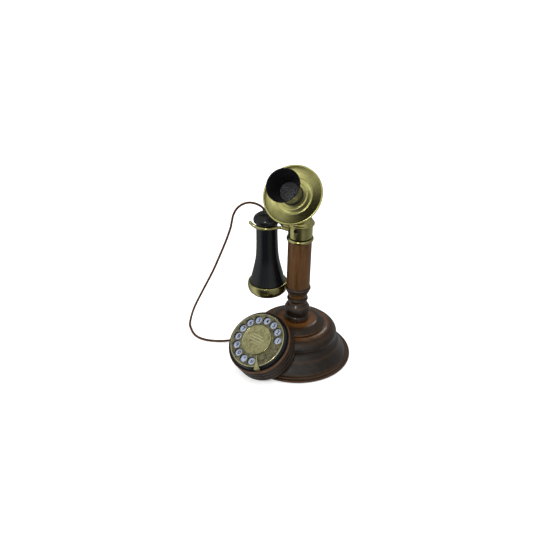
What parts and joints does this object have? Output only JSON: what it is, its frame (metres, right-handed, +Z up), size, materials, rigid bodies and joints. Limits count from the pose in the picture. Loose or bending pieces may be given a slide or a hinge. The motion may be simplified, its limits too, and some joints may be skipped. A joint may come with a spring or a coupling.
{
  "type": "candlestick telephone",
  "caption": "Candlestick telephone: turned wooden base and column, brass forked hook with a bell receiver on a cord, tilting horn transmitter and a round push-button dial.",
  "frame": {"origin": "centre of the felt pad's lower face, on the column's axis", "axes": "+Z up along the column; -Y to the front, where the transmitter looks; the hook and the receiver towards -X"},
  "size_m": [0.2805, 0.2094, 0.3387],
  "materials": {
    "dark_wood": "satin dark walnut stain, worn reddish brown on the edges",
    "brown_wood": "satin brown walnut",
    "brass": "polished olive brass",
    "antique_brass": "mottled antique brass",
    "black_gloss": "gloss black",
    "black_rubber": "matt black",
    "steel": "plain steel",
    "iron": "as cast",
    "board": "green circuit board",
    "key_plastic": "pale blue-white moulded plastic with dark figures",
    "felt": "green felt",
    "cord_fabric": "brown braided cotton"
  },
  "bodies": {
    "base": {"base_skirt": "dark_wood", "base_ring": "dark_wood", "column_baluster": "dark_wood", "dial_housing": "dark_wood", "top_disc": "brown_wood", "column_shaft": "brown_wood", "felt_pad": "felt", "bottom_plate": "steel", "base_screw_1": "steel", "base_screw_2": "steel", "base_screw_3": "steel", "ballast_ring": "iron", "circuit_board": "board", "line_jack": "black_gloss", "cord_gland": "black_rubber", "tie_rod": "steel", "tie_rod_nut_lower": "steel", "tie_rod_nut_upper": "steel", "collar_ferrule": "brass", "collar_sleeve": "brass", "collar_cap": "brass", "pivot_screw": "steel", "hook_switch": "black_gloss", "hook_spring": "steel", "transmitter_perch": "brass", "tilt_screw": "brass", "dial_bezel": "black_gloss", "keypad_board": "board", "keypad_membrane": "black_rubber", "key_guide": "black_gloss", "finger_plate": "antique_brass", "dial_disc": "antique_brass", "finger_stop": "brass"},
    "hook": {"hook_lever": "brass"},
    "transmitter": {"transmitter_cup": "brass", "transmitter_lug": "brass", "faceplate": "brass", "mouthpiece": "black_gloss", "mouthpiece_grille": "black_gloss", "microphone": "steel"},
    "receiver": {"receiver_shell": "black_gloss", "receiver_cap": "black_gloss", "receiver_boot": "black_rubber", "ear_ring": "brass", "earpiece": "black_gloss", "receiver_diaphragm": "steel", "receiver_magnet": "iron", "receiver_cord": "cord_fabric"},
    "key_01": {"key_01": "key_plastic"},
    "key_02": {"key_02": "key_plastic"},
    "key_03": {"key_03": "key_plastic"},
    "key_04": {"key_04": "key_plastic"},
    "key_05": {"key_05": "key_plastic"},
    "key_06": {"key_06": "key_plastic"},
    "key_07": {"key_07": "key_plastic"},
    "key_08": {"key_08": "key_plastic"},
    "key_09": {"key_09": "key_plastic"},
    "key_10": {"key_10": "key_plastic"},
    "key_11": {"key_11": "key_plastic"},
    "key_12": {"key_12": "key_plastic"}
  },
  "joints": [
    {"name": "receiver_lift", "type": "slide", "parent": "base", "child": "receiver", "axis": [-0.766, 0, 0.6428], "range_m": [0, 0.1]},
    {"name": "hook_swing", "type": "hinge", "parent": "base", "child": "hook", "pos_m": [0, 0, 0.2252], "axis": [0, 1, 0], "range_deg": [0, 8]},
    {"name": "transmitter_tilt", "type": "hinge", "parent": "base", "child": "transmitter", "pos_m": [0, -0.003, 0.26], "axis": [1, 0, 0], "range_deg": [-15, 25]},
    {"name": "key_01_press", "type": "slide", "parent": "base", "child": "key_01", "axis": [0.1278, 0.5909, -0.7965], "range_m": [0, 0.0015], "stiffness_N_per_m": 400, "springref_m": -0.001},
    {"name": "key_02_press", "type": "slide", "parent": "base", "child": "key_02", "axis": [0.1278, 0.5909, -0.7965], "range_m": [0, 0.0015], "stiffness_N_per_m": 400, "springref_m": -0.001},
    {"name": "key_03_press", "type": "slide", "parent": "base", "child": "key_03", "axis": [0.1278, 0.5909, -0.7965], "range_m": [0, 0.0015], "stiffness_N_per_m": 400, "springref_m": -0.001},
    {"name": "key_04_press", "type": "slide", "parent": "base", "child": "key_04", "axis": [0.1278, 0.5909, -0.7965], "range_m": [0, 0.0015], "stiffness_N_per_m": 400, "springref_m": -0.001},
    {"name": "key_05_press", "type": "slide", "parent": "base", "child": "key_05", "axis": [0.1278, 0.5909, -0.7965], "range_m": [0, 0.0015], "stiffness_N_per_m": 400, "springref_m": -0.001},
    {"name": "key_06_press", "type": "slide", "parent": "base", "child": "key_06", "axis": [0.1278, 0.5909, -0.7965], "range_m": [0, 0.0015], "stiffness_N_per_m": 400, "springref_m": -0.001},
    {"name": "key_07_press", "type": "slide", "parent": "base", "child": "key_07", "axis": [0.1278, 0.5909, -0.7965], "range_m": [0, 0.0015], "stiffness_N_per_m": 400, "springref_m": -0.001},
    {"name": "key_08_press", "type": "slide", "parent": "base", "child": "key_08", "axis": [0.1278, 0.5909, -0.7965], "range_m": [0, 0.0015], "stiffness_N_per_m": 400, "springref_m": -0.001},
    {"name": "key_09_press", "type": "slide", "parent": "base", "child": "key_09", "axis": [0.1278, 0.5909, -0.7965], "range_m": [0, 0.0015], "stiffness_N_per_m": 400, "springref_m": -0.001},
    {"name": "key_10_press", "type": "slide", "parent": "base", "child": "key_10", "axis": [0.1278, 0.5909, -0.7965], "range_m": [0, 0.0015], "stiffness_N_per_m": 400, "springref_m": -0.001},
    {"name": "key_11_press", "type": "slide", "parent": "base", "child": "key_11", "axis": [0.1278, 0.5909, -0.7965], "range_m": [0, 0.0015], "stiffness_N_per_m": 400, "springref_m": -0.001},
    {"name": "key_12_press", "type": "slide", "parent": "base", "child": "key_12", "axis": [0.1278, 0.5909, -0.7965], "range_m": [0, 0.0015], "stiffness_N_per_m": 400, "springref_m": -0.001}
  ],
  "couplings": [
    {"joint": "hook_swing", "follows": "receiver_lift", "rad_per_m": 1.3949}
  ]
}
